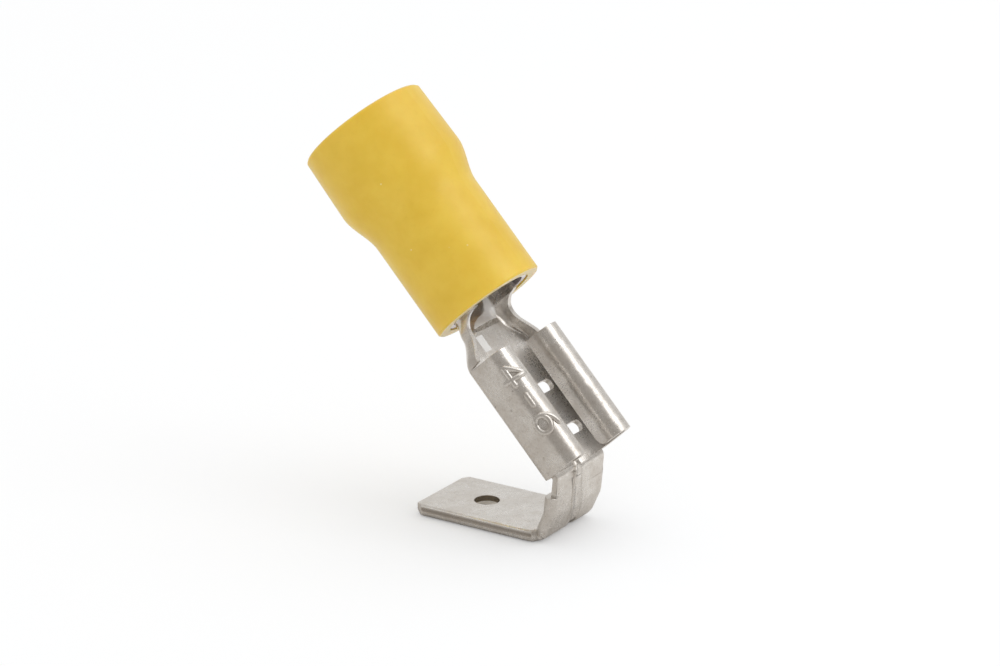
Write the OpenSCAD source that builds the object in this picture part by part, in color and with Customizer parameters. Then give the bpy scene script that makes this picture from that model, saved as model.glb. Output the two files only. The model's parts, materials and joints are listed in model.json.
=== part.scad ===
// Insulated push-on terminal with a male tab on its back, for heavy wire (4 to 6 mm2).
// One folded sheet makes the tab, the strap, the receptacle, the neck and the wire barrel.
// Frame: Z up, origin at the tab hole on the tab's underside, tab tip towards -X.

/* [Sheet] */
// Thickness of the sheet that the terminal is folded from
sheet_t = 0.4; // [0.32:0.02:0.48]
// How far joined forms are set inside one another's faces
weld_inset = 0.01; // [0.005:0.005:0.02]
// How far joined forms reach into one another
weld_len = 0.2; // [0.1:0.05:0.3]

/* [Male tab] */
// Width over the two folded edges
tab_w = 6.35; // [5.2:0.05:6.6]
// From the hole's centre to the tip
tab_tip = 3.67; // [2.6:0.01:5]
// Diameter of the hole through both layers
hole_d = 1.67; // [1.2:0.01:2.1]
// Length of each corner cut at the tip
tip_cut_len = 0.75; // [0.4:0.05:1]
// Width of each corner cut at the tip
tip_cut_w = 0.55; // [0.3:0.05:0.8]
// Length of the bevels on the tip's faces
tip_bevel_len = 0.6; // [0.3:0.05:0.9]
// Depth of the bevel on the tip's top face
tip_bevel_top = 0.1; // [0.05:0.01:0.15]
// Depth of the bevel on the tip's underside
tip_bevel_under = 0.25; // [0.1:0.01:0.3]
// Gap between the two folded leaves under the tab
tab_seam = 0.3; // [0.1:0.05:0.6]

/* [Strap] */
// Setback of the single sheet's edges from the tab's folded edges
strap_setback = 0.325; // [0.1:0.025:0.6]
// Gap between the two folded leaves on the strap
strap_seam = 1.0; // [0.6:0.05:1.4]
// Depth of the seam, where pressing has filled it from below
seam_depth = 0.14; // [0.08:0.01:0.3]
// Rounding of the two leaves' edges along the seam
seam_edge = 0.06; // [0.03:0.01:0.07]
// Sideways shift of the seam at the leaves' ends
seam_shift = -0.25; // [-0.5:0.05:0.5]
// Sideways shift of the seam under the tab, as the leaves run askew
seam_foot_shift = 0.6; // [-0.5:0.05:0.8]
// From the hole's centre to the foot of the strap
hole_to_foot = 6.0; // [5:0.05:8]
// Length of the strap's lower run
foot_len = 2.2; // [1.8:0.05:3]
// Angle of the strap's lower run to the tab
foot_angle = 66.5; // [58:0.5:76]
// Length of the strap's upper run
knee_len = 2.68; // [2.3:0.02:3.4]
// Angle of the strap's upper run to the tab
knee_angle = 84.7; // [80:0.1:96]
// Length of the leaves past the knee
leaf_len = 1.3; // [0.9:0.05:1.5]
// Outer radius of the bend at the foot
foot_r = 1.2; // [1:0.05:1.4]
// Outer radius of the bend at the knee
knee_r = 1.4; // [1:0.05:2]
// Outer radius of the bend at the receptacle's mouth
mouth_r = 0.6; // [0.5:0.05:0.65]
// How far the folded edge nearer -Y buckles in and out round the foot
buckle_near = 0.12; // [0:0.01:0.15]
// How far the other folded edge buckles
buckle_far = 0.05; // [0:0.01:0.15]
// How far the bend pulls in the folded edge nearer -Y at the foot
pinch_near = 0.45; // [0:0.05:0.5]
// How far it pulls in the other edge
pinch_far = 0.1; // [0:0.05:0.3]
// Length of one buckle along the edge
buckle_len = 0.62; // [0.5:0.02:0.9]
// How far from the foot the buckles reach
buckle_reach = 0.85; // [0.5:0.05:1.2]
// Length of the step that takes the sheet under the leaves
joggle_len = 0.5; // [0.4:0.05:0.6]
// Radius of the pressed groove that leads into the seam
groove_r = 0.45; // [0.3:0.05:0.5]
// Depth of that groove at the mouth
groove_depth = 0.24; // [0.1:0.02:0.28]
// Depth of that groove where it fades out at the leaves' ends
groove_fade = 0.06; // [0.03:0.01:0.1]

/* [Receptacle] */
// Angle of the receptacle and barrel above the tab
body_lean = 46.7; // [40:0.1:60]
// Overall width
rec_w = 7.6; // [7.2:0.05:9.2]
// Overall height over the curls
rec_h = 3.05; // [2.6:0.05:3.7]
// Length along the axis
rec_len = 8.3; // [7:0.05:10]
// Gap between the two curls' inner faces
curl_gap = 3.4; // [2.8:0.05:4]
// Height of the slot between the floor and the curls' lips
slot_h = 0.82; // [0.8:0.01:1]
// Outer radius of the two floor corners
corner_r = 0.5; // [0.48:0.01:0.7]
// Distance from the mouth to the middle of the locking bridge
bridge_s = 3.69; // [3:0.01:4.5]
// Distance between the two cross slots beside the bridge
bridge_pitch = 3.24; // [2.6:0.02:3.6]
// Width of each cross slot
cross_slot_w = 0.78; // [0.5:0.02:1]
// Length of each cross slot
cross_slot_len = 5.2; // [4:0.05:5.6]
// Diameter of the locking dimple
dimple_d = 1.5; // [1:0.05:1.6]
// Height of the locking dimple above the floor
dimple_h = 0.25; // [0.15:0.01:0.3]
// Length of the corner taken off each lip at the mouth
lip_cut_len = 0.7; // [0.3:0.05:1]
// Height of the corner taken off each lip at the mouth
lip_cut_h = 0.5; // [0.2:0.05:0.6]

/* [Neck] */
// Length of the neck, from the receptacle to the barrel
neck_len = 4.2; // [3.8:0.05:5]
// Distance from the receptacle to the throat, where the neck is round and enters the sleeve
throat_s = 3.2; // [2.9:0.05:3.6]
// Width at the neck's waist
waist_w = 5.4; // [4.8:0.05:6]
// Distance from the receptacle to the waist
waist_s = 2.1; // [1.8:0.05:2.4]
// Corner radius at the waist
waist_r = 0.9; // [0.6:0.05:1.1]
// Height of the neck's side walls
neck_wall_h = 1.2; // [1.05:0.05:1.5]
// Height of the walls where the relief cuts part them from the curls
relief_h = 0.56; // [0.52:0.02:0.8]
// Length of each relief cut
relief_len = 0.12; // [0.08:0.01:0.2]
// Length of the swept corner where the walls rise to the barrel
sweep_len = 1.1; // [0.8:0.05:1.3]
// Height of that swept corner
sweep_h = 1.4; // [1:0.05:1.6]
// Height of the pressed wire stop
stop_h = 0.65; // [0.3:0.05:0.7]
// Width of the wire stop
stop_w = 2.9; // [2:0.05:3.4]
// Length along the axis of the wire stop's sheared face
stop_face = 0.25; // [0.15:0.01:0.4]
// Sideways shift of the wire stop
stop_shift = 0.35; // [-0.4:0.05:0.4]

/* [Barrel] */
// Outer diameter of the rolled wire barrel
barrel_od = 5.2; // [4.3:0.05:5.8]
// Length of the barrel, where its section is closed
barrel_len = 6.0; // [4.5:0.1:8]
// Height of the barrel's axis above the receptacle's underside
axis_h = 1.89; // [1.5:0.01:2.4]
// Width of the barrel's butted seam
barrel_seam = 0.12; // [0.05:0.01:0.2]

/* [Support tube] */
// Wall of the metal tube round the barrel
tube_wall = 0.38; // [0.25:0.01:0.5]
// Length of the tube
tube_len = 7.4; // [5:0.1:9]
// Setback of the tube's end inside the sleeve
tube_setback = 0.1; // [0.05:0.05:0.4]
// Radial clearance between the nested tubes
nest_gap = 0.02; // [0.01:0.01:0.05]

/* [Sleeve] */
// Wall of the sleeve over the barrel
sleeve_wall = 0.83; // [0.6:0.01:1.1]
// Diameter of the funnel's bore
funnel_bore = 7.0; // [6.4:0.05:7.4]
// Outer diameter of the funnel at its shoulder
funnel_od = 9.0; // [8.4:0.05:10]
// Outer diameter of the funnel at its end
funnel_end_od = 8.76; // [8.2:0.02:10]
// Length of the narrow part
narrow_len = 6.9; // [5.5:0.05:8]
// Length of the flare between the narrow part and the funnel
flare_len = 2.9; // [2:0.05:4]
// Length of the funnel
funnel_len = 4.3; // [3.5:0.05:6]
// Rounding of the sleeve's edges
sleeve_edge = 0.12; // [0.05:0.01:0.2]

/* [Hidden] */
bend_steps = 8;
fold_steps = 8;
flare_steps = 12;
half_points = 18;
neck_steps = 8;
stop_steps = 8;
throat_steps = 5;
past = 1;                                  // how far a cutting tool reaches past what it cuts
tab_t = 2*sheet_t;
strap_w = tab_w - 2*strap_setback;         // single sheet between the receptacle's floor and the leaves
curl_w = (rec_w - curl_gap)/2;
curl_r = 0.49*curl_w;
lip_h = sheet_t + slot_h;
joggle_r = 1.1*sheet_t;
joggle_lead = joggle_r/2;                  // from the leaves' ends to the step's upper corner
dome_root = sheet_t/4;                     // how far the dimple's dome reaches into the floor
relief_ramp = 0.1;                         // over which the neck's walls rise past the relief cuts
barrel_r = barrel_od/2;
bore_r = barrel_r - sheet_t;
tube_bore_r = barrel_r + nest_gap;
tube_r = tube_bore_r + tube_wall;
sleeve_bore_r = tube_r + nest_gap;
sleeve_r = sleeve_bore_r + sleeve_wall;
barrel_s = rec_len + neck_len;             // where the barrel starts along the body's axis
sleeve_s = rec_len + throat_s;
foot = [hole_to_foot, 0];
knee = foot + foot_len*[cos(foot_angle), sin(foot_angle)];
mouth_corner = knee + knee_len*[cos(knee_angle), sin(knee_angle)];
leaf_end = knee + leaf_len*[cos(knee_angle), sin(knee_angle)];
axis_dir = [-cos(body_lean), sin(body_lean)];
face_dir = [sin(body_lean), cos(body_lean)];
mouth_lead = 0.3;                          // from the mouth bend's corner to the receptacle's end
mouth = mouth_corner + mouth_lead*axis_dir - sheet_t*face_dir;

// ---- paths and sheets ----

function heading(a, b) = atan2(b.y - a.y, b.x - a.x);
function wrapped(angle) = angle > 180 ? angle - 360 : angle <= -180 ? angle + 360 : angle;
function eased(x) = let (c = min(1, max(0, x))) c*c*(3 - 2*c);
function blend(a, b, u) = (1 - u)*a + u*b;

// Stations [x, y, heading] along a polyline whose inner corners are rounded to the given radii
function stations(points, radii, steps) = [
    [points[0].x, points[0].y, heading(points[0], points[1])],
    for (i = [1 : len(points) - 2])
        let (
            h0 = heading(points[i - 1], points[i]),
            turn = wrapped(heading(points[i], points[i + 1]) - h0),
            side = sign(turn),
            r = radii[i - 1],
            start = points[i] - r*tan(abs(turn)/2)*[cos(h0), sin(h0)],
            centre = start + side*r*[-sin(h0), cos(h0)]
        )
        for (k = [0 : steps])
            let (h = h0 + turn*k/steps)
            [centre.x + side*r*sin(h), centre.y - side*r*cos(h), h],
    let (n = len(points))
    [points[n - 1].x, points[n - 1].y, heading(points[n - 2], points[n - 1])]
];

// The point that lies a distance to the left of a station
function beside(station, d) = [station.x - d*sin(station.z), station.y + d*cos(station.z)];

// Outline of a bent sheet that lies between two distances to the left of its stations
function sheet_outline(path, near, far) = concat(
    [for (s = path) beside(s, near)],
    [for (i = [len(path) - 1 : -1 : 0]) beside(path[i], far)]
);

// Closed skin over rings of points, all with the same number of points. The caps list convex
// pieces of the first ring's end face, in the ring's own order, and close both ends.
module skin(rings, caps) {
    n = len(rings[0]);
    last = len(rings) - 1;
    polyhedron(
        points = [for (ring = rings) each ring],
        faces = concat(
            caps,
            [for (i = [0 : last - 1], k = [0 : n - 1])
                [i*n + k, (i + 1)*n + k, i*n + (k + 1) % n]],
            [for (i = [0 : last - 1], k = [0 : n - 1])
                [i*n + (k + 1) % n, (i + 1)*n + k, (i + 1)*n + (k + 1) % n]],
            [for (cap = caps) [for (k = [len(cap) - 1 : -1 : 0]) last*n + cap[k]]]
        )
    );
}

// Puts a form drawn about the body's own axis into place: X is height, Y is width, Z runs to the barrel
module on_body() {
    translate([mouth.x, 0, mouth.y]) rotate([0, body_lean - 90, 0]) children();
}

// Extrudes a side view drawn in X and Z across a width
module across(width) {
    rotate([90, 0, 0]) linear_extrude(height = width, center = true) children();
}

// ---- folded tab and strap ----

// Folded strip's section [width, depth], depth counted from the leaves' face, with the seam's
// two sides and with what the far and near edges gain or lose
function folded_section(left, right, far, near) = let (side = tab_w/2 - sheet_t) concat(
    [[right, seam_edge], [right + seam_edge, 0]],
    [for (k = [0 : fold_steps]) let (a = -90 + 180*k/fold_steps)
        [side + far + sheet_t*cos(a), sheet_t + sheet_t*sin(a)]],
    [for (k = [0 : fold_steps]) let (a = 90 + 180*k/fold_steps)
        [-side - near + sheet_t*cos(a), sheet_t + sheet_t*sin(a)]],
    [[left - seam_edge, 0], [left, seam_edge], [left, seam_depth], [right, seam_depth]]
);

// Adds stations between two neighbours, so that none are further apart than the given length
function refined(path, most) = [
    for (i = [0 : len(path) - 2])
        let (a = path[i], b = path[i + 1], gap = norm([b.x - a.x, b.y - a.y]),
             parts = max(1, ceil(gap/most)))
        for (k = [0 : parts - 1]) blend(a, b, k/parts),
    path[len(path) - 1]
];

// The strip's face runs along the tab's underside, round the foot and up to the leaves' ends
buckle_start = [hole_to_foot - 2*buckle_reach, 0];
strip_bends = stations([buckle_start, foot, knee, leaf_end], [foot_r, knee_r], bend_steps);
strip_path = concat([[-tab_tip, 0, 0]], refined(strip_bends, buckle_len/5));

// Signed distance of a station from the foot, and how far an edge is pulled in and buckles there
function past_foot(s) = norm([s.x, s.y] - foot)*(s.z > foot_angle/2 ? 1 : -1);
function near_foot(s) = exp(-pow(past_foot(s)/buckle_reach, 2)*2);
function buckle(s, pinch, size, phase) =
    near_foot(s)*(size*sin(360*past_foot(s)/buckle_len + phase) - pinch);

// The seam's two sides. It opens from the tab's gap to the strap's gap where the foot starts to
// bend, and drifts sideways on its way up to the leaves' ends
function seam_sides(s) = let (
        gap = blend(tab_seam, strap_seam, eased(s.z/(foot_angle/3))),
        middle = blend(seam_foot_shift, seam_shift, s.y/leaf_end.y))
    [middle - gap/2, middle + gap/2];

function strip_ring(s) = let (
        seam = seam_sides(s),
        far = buckle(s, pinch_far, buckle_far, 60),
        near = buckle(s, pinch_near, buckle_near, 200))
    [for (p = folded_section(seam[0], seam[1], far, near))
        let (q = beside(s, p.y)) [q.x, p.x, q.y]];

module folded_strip() {
    fold = fold_steps + 1;
    right_end = fold + 1;
    left_end = 2*fold + 4;
    skin([for (s = strip_path) strip_ring(s)],
         [[left_end + 1, for (k = [0 : right_end]) k],
          [left_end, for (k = [right_end + 1 : left_end - 1]) k],
          [left_end + 1, right_end, right_end + 1, left_end]]);
}

module tab_cuts() {
    translate([0, 0, -past]) cylinder(h = tab_t + 2*past, d = hole_d, $fn = 48);
    for (side = [-1, 1])
        translate([-tab_tip, side*tab_w/2, -past])
            linear_extrude(height = tab_t + 2*past)
                polygon([[-past, -side*tip_cut_w*(1 + past/tip_cut_len)],
                         [tip_cut_len*(1 + past/tip_cut_w), side*past],
                         [-past, side*past]]);
    across(tab_w + 2*past)
        polygon([[-tab_tip - past, tab_t - tip_bevel_top*(1 + past/tip_bevel_len)],
                 [-tab_tip + tip_bevel_len, tab_t],
                 [-tab_tip + tip_bevel_len, tab_t + past],
                 [-tab_tip - past, tab_t + past]]);
    across(tab_w + 2*past)
        polygon([[-tab_tip - past, tip_bevel_under*(1 + past/tip_bevel_len)],
                 [-tab_tip + tip_bevel_len, 0],
                 [-tab_tip + tip_bevel_len, -past],
                 [-tab_tip - past, -past]]);
}

// Single sheet from the receptacle's floor down to the leaves, stepping in under them
module single_strap() {
    along = [cos(knee_angle), sin(knee_angle)];
    inward = [-along.y, along.x];
    step_top = knee + (leaf_len - joggle_lead)*along;
    step_foot = step_top - joggle_len*along + (sheet_t - weld_inset)*inward;
    root = step_foot - joggle_len/2*along;
    end = mouth_corner + (mouth_lead + weld_len)*axis_dir;
    path = stations([root, step_foot, step_top, mouth_corner, end],
                    [joggle_r, joggle_r, mouth_r], bend_steps);
    across(strap_w) polygon(sheet_outline(path, weld_inset, sheet_t - weld_inset));
}

// Pressed groove that starts at the mouth and runs down into the seam between the leaves
module strap_groove() {
    lift = groove_r - groove_depth;
    start = mouth_corner + (mouth_lead + groove_r/2)*axis_dir + lift*face_dir;
    turn = mouth_corner + lift*face_dir;
    along = [cos(knee_angle), sin(knee_angle)];
    end = leaf_end + groove_r/2*along + (groove_r - groove_fade)*[along.y, -along.x];
    for (run = [[start, turn], [turn, end]])
        hull()
            for (p = run)
                translate([p.x, seam_shift, p.y]) sphere(r = groove_r, $fn = 24);
}

// ---- receptacle ----

// Face path of the section [width, height], from one lip over its curl, round the floor to the other
receptacle_path = stations(
    [[-curl_gap/2, lip_h], [-curl_gap/2, rec_h], [-rec_w/2, rec_h], [-rec_w/2, 0],
     [rec_w/2, 0], [rec_w/2, rec_h], [curl_gap/2, rec_h], [curl_gap/2, lip_h]],
    [curl_r, curl_r, corner_r, corner_r, curl_r, curl_r], bend_steps);

// Outline of a slot with round ends, its length along Y
function obround(length, width) = let (r = width/2, steps = 2*bend_steps)
    [for (side = [1, -1], k = [0 : steps]) let (a = 90 - side*90 + 180*k/steps)
        [r*cos(a), side*(length/2 - r) + r*sin(a)]];

module cross_slot(s) {
    translate([-past, 0, s]) rotate([0, 90, 0])
        linear_extrude(height = past + sheet_t + slot_h/2)
            polygon(obround(cross_slot_len, cross_slot_w));
}

// Dome of the given base diameter that rises above a level, with a root that goes below it
module dome(level, base, height, root) {
    r = (base*base/4 + height*height)/(2*height);
    half_angle = asin(base/2/r);
    translate([level, 0, bridge_s]) rotate([0, 90, 0])
        rotate_extrude($fn = 64)
            polygon(concat(
                [[0, -root], [base/2, -root]],
                [for (k = [0 : bend_steps]) let (a = half_angle*(1 - k/bend_steps))
                    [r*sin(a), r*cos(a) - r + height]]
            ));
}

// What is cut off a lip at the mouth, as points [height, distance along the axis]: the corner
// that stays is a quarter of an ellipse
lip_cut = concat(
    [for (k = [0 : bend_steps]) let (a = 90*k/bend_steps)
        [lip_h + lip_cut_h*(1 - sin(a)), lip_cut_len*(1 - cos(a))]],
    [[lip_h - slot_h/2, lip_cut_len], [lip_h - slot_h/2, -past],
     [lip_h + lip_cut_h, -past]]
);

module receptacle() {
    difference() {
        union() {
            linear_extrude(height = rec_len)
                polygon([for (p = sheet_outline(receptacle_path, 0, sheet_t)) [p.y, p.x]]);
            dome(sheet_t, dimple_d, dimple_h, dome_root);
        }
        for (side = [-1, 1]) cross_slot(bridge_s + side*bridge_pitch/2);
        dome(0, dimple_d - sheet_t, dimple_h, past);
        for (side = [-1, 1])
            translate([0, side*curl_gap/2, 0])
                rotate([90, 0, 0])
                    linear_extrude(height = 2*(curl_r - sheet_t), center = true)
                        polygon(lip_cut);
    }
}

// ---- neck ----

// Half sections as points [width, height] from the middle of the floor to the top of the wall
function trough(w, r, top, k) =
    let (flat = 10, bend = 16, inner = w/2 - r)
    k <= flat ? [inner*k/flat, 0]
    : k <= bend ? let (a = 90*(k - flat)/(bend - flat)) [inner + r*sin(a), r - r*cos(a)]
    : [w/2, blend(r, top, (k - bend)/(half_points - bend))];
function ring_arc(r, top, k) =
    let (a = acos(min(1, max(-1, (axis_h - top)/r)))*k/half_points)
    [r*sin(a), axis_h - r*cos(a)];

// Height of the wall's edge at a distance from the receptacle
function wall_top(s) =
    s <= relief_len ? relief_h
    : let (x = min(1, max(0, (s - throat_s + sweep_len)/sweep_len)))
      neck_wall_h + sweep_h*(1 - sqrt(1 - x*x));

// Height that the wire stop's dome adds, nothing before its sheared face
stop_s = waist_s;
function stop_rise(s, w) =
    let (x = (s - stop_s - stop_face)/(neck_len - stop_s - stop_face),
         y = (w - stop_shift)/(stop_w/2))
    s <= stop_s || abs(y) >= 1 ? 0 : stop_h*(1 - pow(x, 4))*(1 - y*y);

// Point of the neck's skin, on the outer face (depth 0) or the inner one (depth 1)
function neck_point(s, k, depth) =
    let (
        d = depth*(sheet_t - 2*weld_inset) + weld_inset,
        top = wall_top(s),
        a = trough(rec_w - 2*d, corner_r - d, top - d, k) + [0, d],
        m = trough(waist_w - 2*d, waist_r - d, top - d, k) + [0, d],
        b = ring_arc(barrel_r - d, top, k)
    )
    s <= waist_s ? blend(a, m, eased(s/waist_s))
                 : blend(m, b, eased((s - waist_s)/(throat_s - waist_s)));

function neck_ring(s) =
    let (
        outer = [for (k = [0 : half_points]) neck_point(s, k, 0)],
        inner = [for (k = [0 : half_points]) neck_point(s, k, 1)],
        n = half_points
    )
    [for (p = concat(
        [for (k = [n : -1 : 1]) [-outer[k].x, outer[k].y]], outer,
        [for (k = [n : -1 : 0]) inner[k]], [for (k = [1 : n]) [-inner[k].x, inner[k].y]]))
        [p.y + stop_rise(s, -p.x), -p.x, rec_len + s]];

module neck() {
    n = 4*half_points + 2;
    skin([for (s = concat(
             [-weld_len, relief_len],
             [for (k = [0 : neck_steps]) blend(relief_len + relief_ramp, stop_s, k/neck_steps)],
             [for (k = [0 : stop_steps]) blend(stop_s + stop_face, throat_s, k/stop_steps)],
             [for (k = [1 : throat_steps]) blend(throat_s, neck_len, k/throat_steps)]))
             neck_ring(s)],
         [for (k = [0 : n/2 - 2]) [k, k + 1, n - 2 - k, n - 1 - k]]);
}

// ---- barrel ----

module barrel() {
    translate([axis_h, 0, barrel_s]) difference() {
        cylinder(h = barrel_len, r = barrel_r, $fn = 96);
        translate([0, 0, -past]) cylinder(h = barrel_len + 2*past, r = bore_r, $fn = 96);
        translate([0, -barrel_seam/2, -past])
            cube([barrel_r + past, barrel_seam, barrel_len + 2*past]);
    }
}

module terminal() color([0.78, 0.76, 0.72]) difference() {
    union() {
        folded_strip();
        single_strap();
        on_body() {
            receptacle();
            neck();
            barrel();
        }
    }
    tab_cuts();
    strap_groove();
}

// ---- tube and sleeve ----

module support_tube() color([0.86, 0.84, 0.86]) on_body()
    translate([axis_h, 0, sleeve_s + tube_setback]) difference() {
        cylinder(h = tube_len, r = tube_r, $fn = 96);
        translate([0, 0, -past]) cylinder(h = tube_len + 2*past, r = tube_bore_r, $fn = 96);
    }

// The flare between two radii, drawn as points [radius, height]
function flare(r0, r1, s) = [for (k = [0 : flare_steps])
    [blend(r0, r1, eased(k/flare_steps)), s + flare_len*k/flare_steps]];

module insulation_sleeve() color([0.88, 0.70, 0.20]) on_body()
    translate([axis_h, 0, sleeve_s]) {
        length = narrow_len + flare_len + funnel_len;
        e = sleeve_edge;
        inner = concat([[sleeve_bore_r, 0]],
                       flare(sleeve_bore_r, funnel_bore/2, tube_setback + tube_len),
                       [[funnel_bore/2, length - e], [funnel_bore/2 + e, length]]);
        outer = concat([[sleeve_r - e, 0], [sleeve_r, e]],
                       flare(sleeve_r, funnel_od/2, narrow_len),
                       [[funnel_end_od/2, length - e], [funnel_end_od/2 - e, length]]);
        rotate_extrude($fn = 128)
            polygon(concat(outer, [for (k = [len(inner) - 1 : -1 : 0]) inner[k]]));
    }

terminal();
support_tube();
insulation_sleeve();
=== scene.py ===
import json
import math

import bmesh
import bpy
from mathutils import Matrix, Vector, bvhtree


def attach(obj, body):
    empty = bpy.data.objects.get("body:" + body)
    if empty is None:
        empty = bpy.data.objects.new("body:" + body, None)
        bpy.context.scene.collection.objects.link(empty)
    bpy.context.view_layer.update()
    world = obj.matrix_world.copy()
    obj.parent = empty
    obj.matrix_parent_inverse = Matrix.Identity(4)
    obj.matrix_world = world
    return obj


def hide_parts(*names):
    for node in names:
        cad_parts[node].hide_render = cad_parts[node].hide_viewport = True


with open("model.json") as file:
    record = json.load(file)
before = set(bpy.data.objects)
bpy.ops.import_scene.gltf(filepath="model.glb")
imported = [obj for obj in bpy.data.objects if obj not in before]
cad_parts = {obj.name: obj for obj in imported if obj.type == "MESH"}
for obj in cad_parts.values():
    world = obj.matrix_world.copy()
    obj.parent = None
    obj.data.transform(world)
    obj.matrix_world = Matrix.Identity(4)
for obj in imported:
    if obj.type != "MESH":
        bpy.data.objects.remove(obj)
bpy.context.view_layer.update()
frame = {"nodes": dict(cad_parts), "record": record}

MM = 0.001
mounts = {mount["name"]: mount for mount in frame["record"]["mounts"]}


# ---- small tools ----

def linear(hex_colour):
    """An sRGB hex colour as linear RGBA."""
    def channel(c):
        return c / 12.92 if c <= 0.04045 else ((c + 0.055) / 1.055) ** 2.4
    return tuple(channel(int(hex_colour[i:i + 2], 16) / 255) for i in (1, 3, 5)) + (1.0,)


def per_mm(size_mm):
    """Texture scale for a pattern whose cells measure size_mm."""
    return 1 / (size_mm * MM)


def add(tree, kind, inputs=None, **settings):
    """Adds a node with its settings and links. An input is a number, a hex colour, a socket,
    or a node, which gives its first live output."""
    made = tree.nodes.new(kind)
    for name, value in settings.items():
        setattr(made, name, value)
    for name, value in (inputs or {}).items():
        if isinstance(value, bpy.types.Node):
            value = next(output for output in value.outputs if output.enabled)
        if isinstance(value, bpy.types.NodeSocket):
            tree.links.new(value, made.inputs[name])
        else:
            made.inputs[name].default_value = linear(value) if isinstance(value, str) else value
    return made


def new_material(name):
    made = bpy.data.materials.new(name)
    made.use_nodes = True
    made.node_tree.nodes.clear()
    return made, made.node_tree


def new_object(name, data):
    made = bpy.data.objects.new(name, data)
    bpy.context.scene.collection.objects.link(made)
    return made


def new_piece(name, form, finish, replaced=None):
    """A piece of the terminal from a mesh form, in place of a CAD node where one is named."""
    for face in form.faces:
        face.smooth = True
        face.material_index = 0
    mesh = bpy.data.meshes.new(name)
    form.to_mesh(mesh)
    form.free()
    mesh.materials.append(finish)
    made = new_object(name, mesh)
    if replaced:
        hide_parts(replaced)
    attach(made, "root")
    return made


# ---- where the leaning body lies ----

AXIS = Vector(mounts["wire_barrel"]["axis"]).normalized()
ACROSS = Vector((0, 1, 0))
FACE = ACROSS.cross(AXIS)
FACE = FACE if FACE.z > 0 else -FACE
UP = Vector((0, 0, 1))
SLOT_MIDDLE = 0.81 * MM      # height of the slot's middle above the receptacle's underside
BASE = Vector(mounts["receptacle_mouth"]["pos_m"]) - FACE * SLOT_MIDDLE
SLEEVE_FRONT = 11.5          # distances along the body's axis from the receptacle's mouth, in mm
SLEEVE_BACK = 25.6


def on_body(s, w, h):
    """A point at a distance from the mouth, across, and above the receptacle's underside, in mm."""
    return BASE + AXIS * s * MM + ACROSS * w * MM + FACE * h * MM


# ---- parts of materials ----

SHARE, NUMBER_A, NUMBER_B, COLOUR_A, COLOUR_B = 0, 2, 3, 6, 7    # a Mix node's inputs


def distance(tree, place, direction, start):
    """Distance of a place from a start point along a direction."""
    dot = add(tree, "ShaderNodeVectorMath", {0: place, 1: direction}, operation="DOT_PRODUCT")
    return add(tree, "ShaderNodeMath", {0: dot, 1: start.dot(direction)}, operation="SUBTRACT")


def zone(tree, limits):
    """1 inside every limit, falling to 0 over its soft width. A limit is a distance with its
    low and high ends and its soft width in mm."""
    inside = None
    for value, low, high, soft in limits:
        for edge, full in ((low - soft, low), (high + soft, high)):
            side = add(tree, "ShaderNodeMapRange",
                       {"Value": value, "From Min": edge * MM, "From Max": full * MM},
                       interpolation_type="SMOOTHSTEP")
            inside = side if inside is None else add(
                tree, "ShaderNodeMath", {0: inside, 1: side}, operation="MULTIPLY")
    return inside


def specks(tree, place, spacing_mm, size, share):
    """Scattered round specks: 1 in each speck. Size is a share of the spacing."""
    cells = add(tree, "ShaderNodeTexVoronoi", {"Vector": place, "Scale": per_mm(spacing_mm)})
    near = add(tree, "ShaderNodeMapRange",
               {"Value": cells.outputs["Distance"], "From Min": size, "From Max": size * 0.4},
               interpolation_type="SMOOTHSTEP")
    pick = add(tree, "ShaderNodeSeparateColor", {"Color": cells.outputs["Color"]})
    chosen = add(tree, "ShaderNodeMath", {0: pick.outputs["Red"], 1: share},
                 operation="LESS_THAN")
    return add(tree, "ShaderNodeMath", {0: near, 1: chosen}, operation="MULTIPLY")


def painted(tree, tone, coats):
    """A colour under coats, each with its mask, strength and colour."""
    for mask, strength, colour in coats:
        share = add(tree, "ShaderNodeMath", {0: mask, 1: strength}, operation="MULTIPLY")
        tone = add(tree, "ShaderNodeMix", {SHARE: share, COLOUR_A: tone, COLOUR_B: colour},
                   data_type="RGBA")
    return tone


def surface(tree, relief, values):
    """Ends a material: relief layers, each a height and its depth in mm, on one shader."""
    under = {}
    for height, depth in relief:
        layer = add(tree, "ShaderNodeBump", {"Height": height, "Distance": depth * MM, **under})
        under = {"Normal": layer}
    shader = add(tree, "ShaderNodeBsdfPrincipled", {**values, **under})
    add(tree, "ShaderNodeOutputMaterial", {"Surface": shader})


# ---- materials ----

# Ends of places on the stamped sheet, in mm: along the body, across, and above its underside
# a painted highlight along the neck's floor
HIGHLIGHT_STRIP = ((9.0, 10.15, 0.02), (-1.33, -0.62, 0.02), (0.3, 0.5, 0.02))
# the wire stop's dome and the wall beside it, painted pale as painted light
LIT_DOME = ((10.66, 12.4, 0.03), (-2.4, 1.8, 0.1), (0.45, 2.2, 0.06))
SHEAR = ((10.42, 10.64, 0.01), (-1.1, 1.8, 0.02), (0.42, 1.2, 0.02))
# the receptacle's floor under the curls, painted pale as painted light
LIT_UNDER_CURLS = ((0.3, 8.4, 0.3), (-3.0, 3.0, 0.3), (0.3, 1.9, 0.1))
# Heights on the tab, in mm above the table, and how far out its long edges start
HOLE_WALL = (0.03, 0.77, 0.01)
# the lower part of the hole's wall, painted pale as painted light
LIT_LOWER_WALL = (0.0, 0.40, 0.01)
# a painted dark reflection along the tab's edge, under a painted highlight along its top
EDGE_SHADE_BAND = (0.44, 0.58, 0.08)
EDGE_HIGHLIGHT = (0.70, 0.83, 0.02)
EDGE_START = 3.02
HOLE_MARGIN = 1.01           # share of the hole's radius that takes in its whole wall
# A scratch's run in space: how it turns, and how much finer it is across than along
SCRATCH_TURN = (0.2, 0.9, 0.5)
SCRATCH_SQUEEZE = (1.0, 9.0, 5.0)
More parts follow.
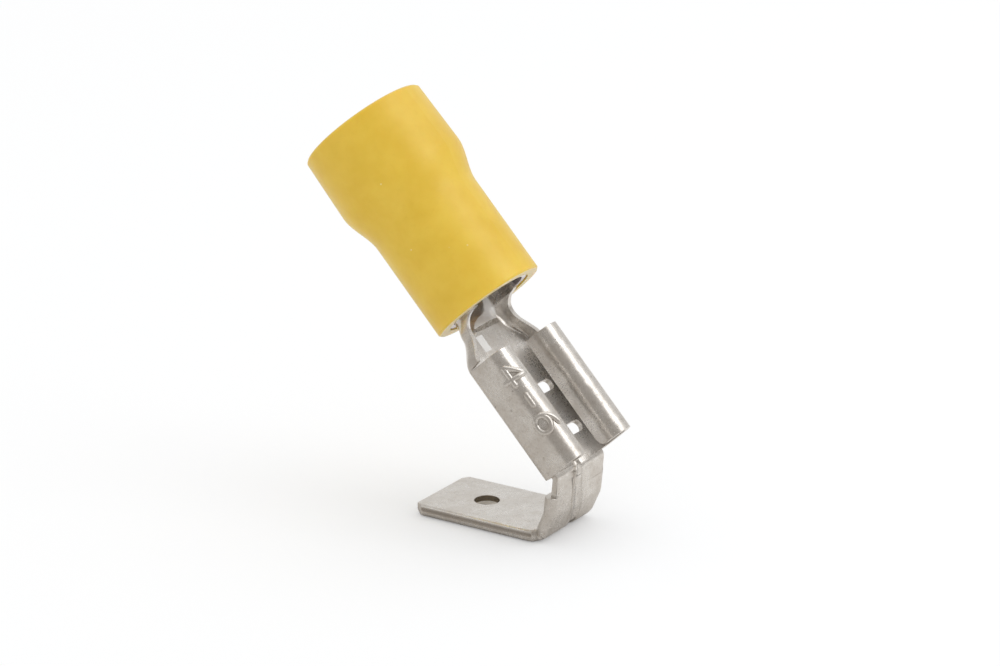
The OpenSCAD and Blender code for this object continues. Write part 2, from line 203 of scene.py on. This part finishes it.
# Metallic of the tin, and the lower metallic of places painted pale: painted highlights, and
# # painted light where little light reaches
PLATED = 0.9
PALED = 0.15
# Paler cut ends of the sleeve: how far in they reach, and how softly they end
CUT_FRONT = 0.04
CUT_BACK = 0.05
CUT_SOFT = 0.08


def sheet_places(tree, place):
    """Masks of the places on the stamped sheet that are finished differently, and of painted
    light and shade.
    """
    s, w, h = (distance(tree, place, way, BASE) for way in (AXIS, ACROSS, FACE))
    up = distance(tree, place, UP, Vector(mounts["tab_hole"]["pos_m"]))

    # the neck's floor with a painted highlight along it, the wire stop's dome and the wall beside
    #     # it painted pale as painted light, its sheared face, and the receptacle's floor under the
    #     curls,
    #     # painted pale as painted light
    highlight_strip, dome, shear, lit_under_curls = (
        zone(tree, [(way, *ends) for way, ends in zip((s, w, h), limits)])
        for limits in (HIGHLIGHT_STRIP, LIT_DOME, SHEAR, LIT_UNDER_CURLS))

    # the sheared wall of the tab's hole, dull brass darkened with painted shade, and painted pale
    #     # as painted light where it passes through the lower leaf
    flat = add(tree, "ShaderNodeVectorMath", {0: place, 1: (1.0, 1.0, 0.0)},
               operation="MULTIPLY")
    reach = add(tree, "ShaderNodeVectorMath", {0: flat}, operation="LENGTH")
    hole = add(tree, "ShaderNodeMath",
               {0: reach, 1: mounts["tab_hole"]["dims"]["r_mm"] * MM * HOLE_MARGIN},
               operation="LESS_THAN")
    wall = add(tree, "ShaderNodeMath", {0: hole, 1: zone(tree, [(up, *HOLE_WALL)])},
               operation="MULTIPLY")
    lit_lower_wall = add(tree, "ShaderNodeMath", {0: wall, 1: zone(tree, [(up, *LIT_LOWER_WALL)])},
                     operation="MULTIPLY")

    # the tab's long edges: a painted dark reflection along their side, under a painted highlight
    #     # along their top
    out = add(tree, "ShaderNodeMath", {0: w}, operation="ABSOLUTE")
    edge = add(tree, "ShaderNodeMath", {0: out, 1: EDGE_START * MM}, operation="GREATER_THAN")
    shade_band, edge_highlight = (add(tree, "ShaderNodeMath", {0: edge, 1: zone(tree, [(up, *ends)])},
                      operation="MULTIPLY") for ends in (EDGE_SHADE_BAND, EDGE_HIGHLIGHT))
    return highlight_strip, dome, shear, lit_under_curls, wall, lit_lower_wall, shade_band, edge_highlight


def tin_plated_brass():
    """Stamped brass sheet with dull electroplated tin: a soft warm-grey sheen, cloudy, with small
    pits, handling scratches and shallow press marks. The punched hole's wall shows dull brass,
    darkened with painted shade, and painted pale on its lower part as painted light."""
    made, tree = new_material("tin_plated_brass")
    place = add(tree, "ShaderNodeTexCoord").outputs["Object"]

    # matt tin's grain is a few micrometres and a scratch a few hundredths of a millimetre
    # across: both are drawn as coarse as they need to show
    clouds = add(tree, "ShaderNodeTexNoise",
                 {"Vector": place, "Scale": per_mm(1.5), "Detail": 5.0, "Roughness": 0.6})
    blotch = add(tree, "ShaderNodeTexNoise",
                 {"Vector": place, "Scale": per_mm(0.45), "Detail": 4.0, "Roughness": 0.7})
    grain = add(tree, "ShaderNodeTexNoise",
                {"Vector": place, "Scale": per_mm(0.13), "Detail": 3.0, "Roughness": 0.6})
    press = add(tree, "ShaderNodeTexNoise",
                {"Vector": place, "Scale": per_mm(1.1), "Detail": 2.0, "Roughness": 0.5})
    torn = add(tree, "ShaderNodeTexNoise",
               {"Vector": place, "Scale": per_mm(0.16), "Detail": 4.0, "Roughness": 0.8})
    drawn = add(tree, "ShaderNodeMapping",
                {"Vector": place, "Rotation": SCRATCH_TURN, "Scale": SCRATCH_SQUEEZE})
    lines = add(tree, "ShaderNodeTexNoise",
                {"Vector": drawn, "Scale": per_mm(0.9), "Detail": 2.0, "Roughness": 0.6})
    scratch = add(tree, "ShaderNodeMapRange",
                  {"Value": lines, "From Min": 0.66, "From Max": 0.74},
                  interpolation_type="SMOOTHSTEP")
    pits = specks(tree, place, 0.6, 0.16, 0.22)
    highlight_strip, dome, shear, lit_under_curls, wall, lit_lower_wall, shade_band, edge_highlight = sheet_places(tree, place)

    cloudy = add(tree, "ShaderNodeMapRange", {"Value": clouds, "From Min": 0.35, "From Max": 0.65})
    blotchy = add(tree, "ShaderNodeMapRange", {"Value": blotch, "From Min": 0.5, "From Max": 0.75})
    grainy = add(tree, "ShaderNodeMapRange", {"Value": grain, "From Min": 0.5, "From Max": 0.75})
    ragged = add(tree, "ShaderNodeMapRange", {"Value": torn, "From Min": 0.35, "From Max": 0.65})
    torn_face = add(tree, "ShaderNodeMath", {0: ragged, 1: shear}, operation="MULTIPLY")
    tone = painted(tree, "#E0DBD5", [(cloudy, 1.0, "#EFECE8")])
    # the tin's own blotches, grain and pits, then painted highlights, painted shade and painted
    # light on the neck, the hole's wall and the tab's edges, and last the sheared face's torn tone
    tone = painted(tree, tone, (
        (blotchy, 0.4, "#BFB5A9"), (grainy, 0.35, "#B3AAA0"), (pits, 0.4, "#8A8176"),
        (highlight_strip, 1.0, "#FBFAF8"), (wall, 1.0, "#968B7B"), (lit_lower_wall, 1.0, "#EFEAE2"),
        (shade_band, 0.6, "#9C9185"), (edge_highlight, 1.0, "#FAF7F2"), (dome, 1.0, "#FBF9F6"),
        (torn_face, 1.0, "#A39A8C")))

    fine = add(tree, "ShaderNodeMapRange", {"Value": grain, "From Min": 0.3, "From Max": 0.7,
                                            "To Min": 0.25, "To Max": 0.37})
    broad = add(tree, "ShaderNodeMapRange", {"Value": clouds, "From Min": 0.3, "From Max": 0.7,
                                             "To Min": 0.05, "To Max": -0.05})
    sheen = add(tree, "ShaderNodeMath", {0: fine, 1: broad}, operation="ADD")
    for mask, roughness in ((highlight_strip, 0.14), (wall, 0.6), (dome, 0.3), (shear, 0.65)):
        sheen = add(tree, "ShaderNodeMix", {SHARE: mask, NUMBER_A: sheen, NUMBER_B: roughness})

    # places painted pale with a lower metallic, as painted highlights and painted light
    pale = highlight_strip
    for mask, strength in ((dome, 1.0), (lit_lower_wall, 1.0), (edge_highlight, 0.6), (lit_under_curls, 0.4)):
        share = add(tree, "ShaderNodeMath", {0: mask, 1: strength}, operation="MULTIPLY")
        pale = add(tree, "ShaderNodeMath", {0: pale, 1: share}, operation="MAXIMUM")
    plating = add(tree, "ShaderNodeMapRange", {"Value": pale, "To Min": PLATED, "To Max": PALED})

    sunk = add(tree, "ShaderNodeMath", {0: 1.0, 1: pits}, operation="SUBTRACT")
    tear = add(tree, "ShaderNodeMath", {0: torn, 1: shear}, operation="MULTIPLY")
    relief = ((press, 0.05), (grain, 0.004), (scratch, 0.006), (sunk, 0.012), (tear, 0.08))
    surface(tree, relief, {"Base Color": tone, "Metallic": plating, "Roughness": sheen})
    return made


def bright_tinned_brass():
    """Thin drawn brass tube under bright tin: whiter and finer than the stamped sheet, with a
    faintly uneven, saw-cut end."""
    made, tree = new_material("bright_tinned_brass")
    place = add(tree, "ShaderNodeTexCoord").outputs["Object"]
    clouds = add(tree, "ShaderNodeTexNoise",
                 {"Vector": place, "Scale": per_mm(0.7), "Detail": 4.0, "Roughness": 0.6})
    # bright tin's grain is about a micrometre, drawn as coarse as it needs to show
    grain = add(tree, "ShaderNodeTexNoise",
                {"Vector": place, "Scale": per_mm(0.06), "Detail": 3.0, "Roughness": 0.6})
    cloudy = add(tree, "ShaderNodeMapRange", {"Value": clouds, "From Min": 0.35, "From Max": 0.65})
    tone = painted(tree, "#D9D4DA", [(cloudy, 1.0, "#EFECF1")])
    sheen = add(tree, "ShaderNodeMapRange", {"Value": grain, "From Min": 0.3, "From Max": 0.7,
                                             "To Min": 0.28, "To Max": 0.45})
    surface(tree, ((clouds, 0.02), (grain, 0.012)),
            {"Base Color": tone, "Metallic": 1.0, "Roughness": sheen})
    return made


def soft_pvc():
    """Moulded soft PVC, satin and slightly translucent: an even yellow with a faintly uneven skin,
    small scuffs, and paler cut ends."""
    made, tree = new_material("soft_pvc_yellow")
    place = add(tree, "ShaderNodeTexCoord").outputs["Object"]
    clouds = add(tree, "ShaderNodeTexNoise",
                 {"Vector": place, "Scale": per_mm(3.0), "Detail": 3.0, "Roughness": 0.6})
    skin = add(tree, "ShaderNodeTexNoise",
               {"Vector": place, "Scale": per_mm(0.35), "Detail": 4.0, "Roughness": 0.6})
    swell = add(tree, "ShaderNodeTexNoise",
                {"Vector": place, "Scale": per_mm(2.2), "Detail": 1.0, "Roughness": 0.6})
    scuffs = specks(tree, place, 1.1, 0.07, 0.25)

    cloudy = add(tree, "ShaderNodeMapRange", {"Value": clouds, "From Min": 0.3, "From Max": 0.7})
    patchy = add(tree, "ShaderNodeMapRange", {"Value": skin, "From Min": 0.55, "From Max": 0.8})
    tone = painted(tree, "#DBB42B", [(cloudy, 1.0, "#E5C242"), (patchy, 0.25, "#D2AA2C"),
                                     (scuffs, 0.7, "#F0E2A8")])
    s = distance(tree, place, AXIS, BASE)
    skinned = zone(tree, [(s, SLEEVE_FRONT + CUT_FRONT, SLEEVE_BACK - CUT_BACK, CUT_SOFT)])
    tone = painted(tree, "#E8DEC0", [(skinned, 1.0, tone)])

    surface(tree, ((swell, 0.03), (skin, 0.01), (scuffs, 0.01)),
            {"Base Color": tone, "Roughness": 0.38, "IOR": 1.53,
             "Subsurface Weight": 0.3, "Subsurface Radius": (1.0, 0.6, 0.2),
             "Subsurface Scale": 0.8 * MM, "Sheen Weight": 0.12, "Sheen Roughness": 0.5})
    return made


# ---- the CAD nodes with eased edges ----

SPLIT_GAP = 0.002 * MM       # the loaded faces share no corners, so they are joined first
SHORT_EDGE = 0.02 * MM       # edges shorter than the easing go before it
FLAT_ANGLE = math.radians(0.5)
SMOOTH_ANGLE = math.radians(35)
EDGE_ANGLE = math.radians(50)


def eased_copy(node, name, finish, edge_mm):
    """The CAD node's own shape with its sharp edges eased, in the node's place."""
    form = bmesh.new()
    form.from_mesh(frame["nodes"][node].data)
    bmesh.ops.remove_doubles(form, verts=form.verts, dist=SPLIT_GAP)
    bmesh.ops.dissolve_limit(form, angle_limit=FLAT_ANGLE, verts=form.verts, edges=form.edges)
    bmesh.ops.triangulate(form, faces=form.faces)
    bmesh.ops.remove_doubles(form, verts=form.verts, dist=SHORT_EDGE)
    sharp = [e for e in form.edges
             if len(e.link_faces) == 2 and e.calc_face_angle() > EDGE_ANGLE]
    bmesh.ops.bevel(form, geom=sharp, offset=edge_mm * MM, offset_type="OFFSET", segments=1,
                    profile=0.5, affect="EDGES", clamp_overlap=False)
    bmesh.ops.triangulate(form, faces=form.faces)
    for e in form.edges:
        e.smooth = len(e.link_faces) == 2 and e.calc_face_angle() < SMOOTH_ANGLE
    return new_piece(name, form, finish, node)


# ---- the seam with turned lips, where the strap's two leaves meet ----

# Each row is a height above the table and the lip's place across, in mm
LEFT_LIP = ((4.84, -0.36), (4.70, -0.60), (4.50, -0.71), (4.00, -0.75), (3.20, -0.75),
            (2.40, -0.76), (1.50, -0.60), (0.70, -0.45))
RIGHT_LIP = ((4.84, -0.30), (4.75, -0.12), (4.60, 0.03), (4.40, 0.10), (3.30, 0.23),
             (2.30, 0.45), (1.40, 0.70), (0.70, 0.85))
LIP_HALF = 0.085             # half a lip's width
LIP_RISE = 0.075
LIP_SHAPE = (-1.0, -0.7, -0.35, 0.0, 0.35, 0.7, 1.0)
DROP_HEIGHT = 4.52           # where the left lip swells, by how much, and over what height
DROP_WIDER = 0.5
DROP_RISE = 0.06
DROP_REACH = 0.16
WEB_RISE = 0.012             # the skin between the lips
FOOT_EASE = 0.4              # the height over which the seam sinks in at its foot
SINK = 0.03                  # how far its foot and its outer edges lie under the strap's face
SEAM_DEPTH = 0.1             # how deep the piece is set into the strap
SEAM_ROWS = 60
LEAST_STEP = 0.004           # how far apart the lips' points stay where the lips meet
CLEAR_OF_GROOVE = (-1.6, -1.3, -1.1, 1.1, 1.3)       # places across where the face is flat
IN_FRONT = 20                # how far in front of the terminal the face is looked for


def at_height(rows, z):
    """The place across of a lip at a height."""
    for (z1, w1), (z0, w0) in zip(rows, rows[1:]):
        if z >= z0:
            return w0 + (w1 - w0) * (z - z0) / (z1 - z0)
    return rows[-1][1]


def seam_section(z, foot):
    """Points (across, rise) over the left lip, the web and the right lip at a height."""
    left, right = at_height(LEFT_LIP, z), at_height(RIGHT_LIP, z)
    ease = min(1.0, (z - foot) / FOOT_EASE)
    drop = math.exp(-((z - DROP_HEIGHT) / DROP_REACH) ** 2)
    section = [[lip + x * LIP_HALF * (1 + DROP_WIDER * more),
                (LIP_RISE + DROP_RISE * more) * (1 - x * x)]
               for lip, more in ((left, drop), (right, 0.0)) for x in LIP_SHAPE]
    section[0][1] = section[-1][1] = -SINK
    middle = (left + right) / 2
    half_way, last = len(LIP_SHAPE), len(section) - 1
    for i, point in enumerate(section):
        nearest = middle + (i - half_way + 0.5) * LEAST_STEP
        point[0] = min(point[0], nearest) if i < half_way else max(point[0], nearest)
        if 0 < i < last:
            point[1] = max(point[1], WEB_RISE)
        point[1] = point[1] * ease - SINK * (1 - ease)
    return section


def folded_seam(body, finish):
    """Two fine lips with a skin between them, laid down the face of the strap."""
    tree = bvhtree.BVHTree.FromPolygons([v.co for v in body.data.vertices],
                                        [p.vertices for p in body.data.polygons])
    top, foot = LEFT_LIP[0][0], LEFT_LIP[-1][0]
    heights = [top + (foot - top) * k / SEAM_ROWS for k in range(SEAM_ROWS + 1)]
    faces = []               # how far forward the strap's face lies at each height
    for z in heights:
        hits = [tree.ray_cast(Vector((IN_FRONT, w, z)) * MM, Vector((-1, 0, 0)))[0]
                for w in CLEAR_OF_GROOVE]
        faces.append(max(hit.x for hit in hits if hit) / MM)
    form = bmesh.new()
    fronts, backs = [], []
    for k, z in enumerate(heights):
        a, b = max(0, k - 1), min(SEAM_ROWS, k + 1)
        run = Vector((faces[b] - faces[a], 0, heights[b] - heights[a])).normalized()
        out = Vector((-run.z, 0, run.x))
        section = seam_section(z, foot)
        fronts.append([form.verts.new((Vector((faces[k], w, z)) + out * rise) * MM)
                       for w, rise in section])
        backs.append([form.verts.new((Vector((faces[k], w, z)) - out * SEAM_DEPTH) * MM)
                      for w, rise in section])
    last = len(fronts[0]) - 1
    for rows, turn in ((fronts, 1), (backs, -1)):
        for a, b in zip(rows, rows[1:]):
            for i in range(last):
                form.faces.new((a[i], a[i + 1], b[i + 1], b[i])[::turn])
    for k in range(SEAM_ROWS):
        for i in (0, last):
            form.faces.new((fronts[k][i], fronts[k + 1][i], backs[k + 1][i], backs[k][i]))
    for k in (0, SEAM_ROWS):
        for i in range(last):
            form.faces.new((fronts[k][i], fronts[k][i + 1], backs[k][i + 1], backs[k][i]))
    bmesh.ops.recalc_face_normals(form, faces=form.faces)
    new_piece("folded_seam", form, finish)


# ---- the wire size, pressed up out of the left curl as plain numbers ----

CURL_ACROSS = -2.771         # the middle of the curl's round, in mm
CURL_HEIGHT = 2.021
CURL_RADIUS = 1.029
MARK_SIZE = 1.5
MARK_STRETCH = 1.25          # width of a sign's cell for its height
MARK_ARC = 0.82              # from the curl's crest to the middle of the marks
MARK_FEET = (("4", 7.2), ("-", 5.15), ("6", 3.5))    # distance of each sign from the mouth
STROKE_HALF = 0.2
STROKE_RISE = 0.2
STROKE_ROOT = 0.02           # how far a stroke is set into the curl
STROKE_STEP = 0.08
STROKE_PROFILE = tuple((math.cos(math.radians(a)), math.sin(math.radians(a)))
                       for a in range(180, -1, -30))
END_STEPS = (0.35, 0.7, 1.0)
LEAST_END = 0.03             # the square of the last ring's size, which stays open


def arc_points(cx, cy, r, start, end, count):
    return [(cx + r * math.cos(math.radians(start + (end - start) * k / count)),
             cy + r * math.sin(math.radians(start + (end - start) * k / count)))
            for k in range(count + 1)]


# Strokes of each sign in a cell one high, from the left edge and the foot
SIGNS = {
    "4": [(0.5, 0.0), (0.5, 1.0), (0.0, 0.32), (0.72, 0.32)],
    "-": [(0.08, 0.46), (0.5, 0.46)],
    "6": ([(0.52, 0.98)] + arc_points(0.66, 0.34, 0.64, 118, 180, 6)
          + arc_points(0.33, 0.33, 0.31, 180, 540, 20)),
}


def refined(points, most):
    """Points along a polyline, none further apart than the given length."""
    made = [points[0]]
    for a, b in zip(points, points[1:]):
        parts = max(1, math.ceil(math.dist(a, b) / most))
        made += [(a[0] + (b[0] - a[0]) * k / parts, a[1] + (b[1] - a[1]) * k / parts)
                 for k in range(1, parts + 1)]
    return made


def curl_place(s, arc, rise):
    """A point over the curl's outer face, by distance from the mouth and arc from its crest."""
    angle = arc / CURL_RADIUS
    r = CURL_RADIUS + rise
    return on_body(s, CURL_ACROSS - r * math.sin(angle), CURL_HEIGHT + r * math.cos(angle))


def stroke(form, points):
    """A rounded ridge along points (s, arc) on the curl, with rounded ends."""
    rings = []
    last = len(points) - 1
    for i, (s, arc) in enumerate(points):
        before, after = points[max(0, i - 1)], points[min(last, i + 1)]
        ds, da = after[0] - before[0], after[1] - before[1]
        size = math.hypot(ds, da)
        ds, da = ds / size, da / size
        ends = [(0.0, 1.0)]
        if i == 0:
            ends = [(-k, math.sqrt(max(LEAST_END, 1 - k * k))) for k in END_STEPS[::-1]] + ends
        if i == last:
            ends += [(k, math.sqrt(max(LEAST_END, 1 - k * k))) for k in END_STEPS]
        for shift, scale in ends:
            cs, ca = s + ds * shift * STROKE_HALF, arc + da * shift * STROKE_HALF
            rings.append([form.verts.new(curl_place(
                cs - da * x * STROKE_HALF * scale, ca + ds * x * STROKE_HALF * scale,
                (STROKE_RISE + STROKE_ROOT) * y * scale - STROKE_ROOT))
                for x, y in STROKE_PROFILE])
    for a, b in zip(rings, rings[1:]):
        for k in range(len(STROKE_PROFILE) - 1):
            form.faces.new((a[k], a[k + 1], b[k + 1], b[k]))
        form.faces.new((a[-1], a[0], b[0], b[-1]))
    form.faces.new(rings[0][::-1])
    form.faces.new(rings[-1])


def size_marks(finish):
    form = bmesh.new()
    for sign, foot in MARK_FEET:
        points = [(foot - x * MARK_SIZE * MARK_STRETCH, MARK_ARC + (0.5 - y) * MARK_SIZE)
                  for x, y in SIGNS[sign]]
        stroke(form, refined(points, STROKE_STEP))
    bmesh.ops.recalc_face_normals(form, faces=form.faces)
    new_piece("size_marks", form, finish)


metal = tin_plated_brass()
terminal = eased_copy("terminal", "folded_terminal", metal, 0.02)
folded_seam(terminal, metal)
eased_copy("support_tube", "thin_tube", bright_tinned_brass(), 0.03)
size_marks(metal)
sleeve = frame["nodes"]["insulation_sleeve"]
sleeve.data.materials.clear()
sleeve.data.materials.append(soft_pvc())


# ---- camera ----

AZIMUTH = math.radians(32.463)
ELEVATION = math.radians(18.683)
ROLL = math.radians(0.247)
DISTANCE = 212.03 * MM
AIM = Vector((0.092, 1.343, 11.872)) * MM
LENS = 118.94


def camera():
    level = Vector((math.cos(AZIMUTH), math.sin(AZIMUTH), 0))
    ahead = Vector((-math.sin(AZIMUTH) * math.cos(ELEVATION),
                    math.cos(AZIMUTH) * math.cos(ELEVATION), -math.sin(ELEVATION)))
    above = level.cross(ahead)
    right = level * math.cos(ROLL) + above * math.sin(ROLL)
    up = above * math.cos(ROLL) - level * math.sin(ROLL)
    data = bpy.data.cameras.new("camera")
    data.lens = LENS
    data.clip_start = 10 * MM
    made = new_object("camera", data)
    made.matrix_world = Matrix((
        (right.x, up.x, -ahead.x, 0), (right.y, up.y, -ahead.y, 0),
        (right.z, up.z, -ahead.z, 0), (0, 0, 0, 1)))
    made.location = AIM - ahead * DISTANCE
    bpy.context.scene.camera = made


# ---- light and floor ----

# What metal mirrors, from the darker, warmer half of the studio to its pale backdrop
BACKDROP_SIDE = Vector((-0.30, 0.75, 0.55)).normalized()
STUDIO_TONES = ((0.0, "#8A857F"), (0.5, "#A09B95"), (0.8, "#B4B1AD"), (0.95, "#DDDCDA"))
FILL = 0.87                  # strength of the even light that the surroundings give
FLOOR_HALF = 0.4
FLOOR_DROP = 0.01 * MM       # the table lies this far under the tab
# What metal sees of the table fades from its dim front to its bright back
MIRRORED_FRONT, MIRRORED_BACK = -5 * MM, 15 * MM
# The table turns white to the camera with distance, and keeps the shadow near the terminal
WHITE_NEAR, WHITE_FAR = 6 * MM, 28 * MM
WHITE_LEAST, WHITE_MOST = 0.25, 0.7


def softbox(name, place, size, power):
    """A square area lamp that points at the terminal."""
    data = bpy.data.lights.new(name, "AREA")
    data.size = size
    data.energy = power
    made = new_object(name, data)
    made.location = place
    made.rotation_euler = (AIM - Vector(place)).to_track_quat("-Z", "Y").to_euler()


def studio():
    """White to the camera and an even fill on matt surfaces. What metal mirrors goes from a dim
    front to a bright back."""
    world = bpy.data.worlds.new("studio")
    bpy.context.scene.world = world
    world.use_nodes = True
    tree = world.node_tree
    tree.nodes.clear()
    direction = add(tree, "ShaderNodeTexCoord").outputs["Generated"]
    back = add(tree, "ShaderNodeVectorMath", {0: direction, 1: BACKDROP_SIDE},
               operation="DOT_PRODUCT")
    share = add(tree, "ShaderNodeMapRange", {"Value": back, "From Min": -1.0})
    tones = add(tree, "ShaderNodeValToRGB", {"Fac": share})
    ramp = tones.color_ramp.elements
    for index, (position, colour) in enumerate(STUDIO_TONES):
        stop = ramp[index] if index < 2 else ramp.new(position)
        stop.position = position
        stop.color = linear(colour)
    path = add(tree, "ShaderNodeLightPath").outputs
    colour = tones
    for ray in ("Is Diffuse Ray", "Is Camera Ray"):
        colour = painted(tree, colour, [(path[ray], 1.0, "#FFFFFF")])
    strength = add(tree, "ShaderNodeMapRange",
                   {"Value": path["Is Diffuse Ray"], "To Min": 1.0, "To Max": FILL})
    shader = add(tree, "ShaderNodeBackground", {"Color": colour, "Strength": strength})
    add(tree, "ShaderNodeOutputWorld", {"Surface": shader})


def floor():
    """A plain white table top that still shows the terminal's shadow."""
    mesh = bpy.data.meshes.new("floor")
    corners = ((-1, -1), (1, -1), (1, 1), (-1, 1))
    mesh.from_pydata([(x * FLOOR_HALF, y * FLOOR_HALF, -FLOOR_DROP) for x, y in corners],
                     [], [(0, 1, 2, 3)])
    made = new_object("floor", mesh)
    finish, tree = new_material("white_table")
    path = add(tree, "ShaderNodeLightPath").outputs
    mirrored = add(tree, "ShaderNodeMath",
                   {0: path["Is Glossy Ray"], 1: path["Is Transmission Ray"]},
                   operation="MAXIMUM")
    place = add(tree, "ShaderNodeTexCoord").outputs["Object"]
    back = add(tree, "ShaderNodeMapRange",
               {"Value": distance(tree, place, ACROSS, Vector()),
                "From Min": MIRRORED_FRONT, "From Max": MIRRORED_BACK})
    seen = painted(tree, "#BEBAB5", [(back, 1.0, "#E6E4E1")])
    colour = painted(tree, "#F4F5F6", [(mirrored, 1.0, seen)])
    lit = add(tree, "ShaderNodeBsdfDiffuse", {"Color": colour})
    glow = add(tree, "ShaderNodeEmission", {"Color": "#FFFFFF", "Strength": 1.0})
    reach = add(tree, "ShaderNodeVectorMath", {0: place}, operation="LENGTH")
    white = add(tree, "ShaderNodeMapRange",
                {"Value": reach, "From Min": WHITE_NEAR, "From Max": WHITE_FAR,
                 "To Min": WHITE_LEAST, "To Max": WHITE_MOST})
    share = add(tree, "ShaderNodeMath", {0: white, 1: path["Is Camera Ray"]},
                operation="MULTIPLY")
    mix = add(tree, "ShaderNodeMixShader", {0: share, 1: lit, 2: glow})
    add(tree, "ShaderNodeOutputMaterial", {"Surface": mix})
    mesh.materials.append(finish)


camera()
studio()
floor()
softbox("overhead", (0.02, 0.10, 0.36), 0.50, 0.38)
softbox("key", (0.27, 0.06, 0.265), 0.20, 0.22)
bpy.context.scene.view_settings.view_transform = "Standard"
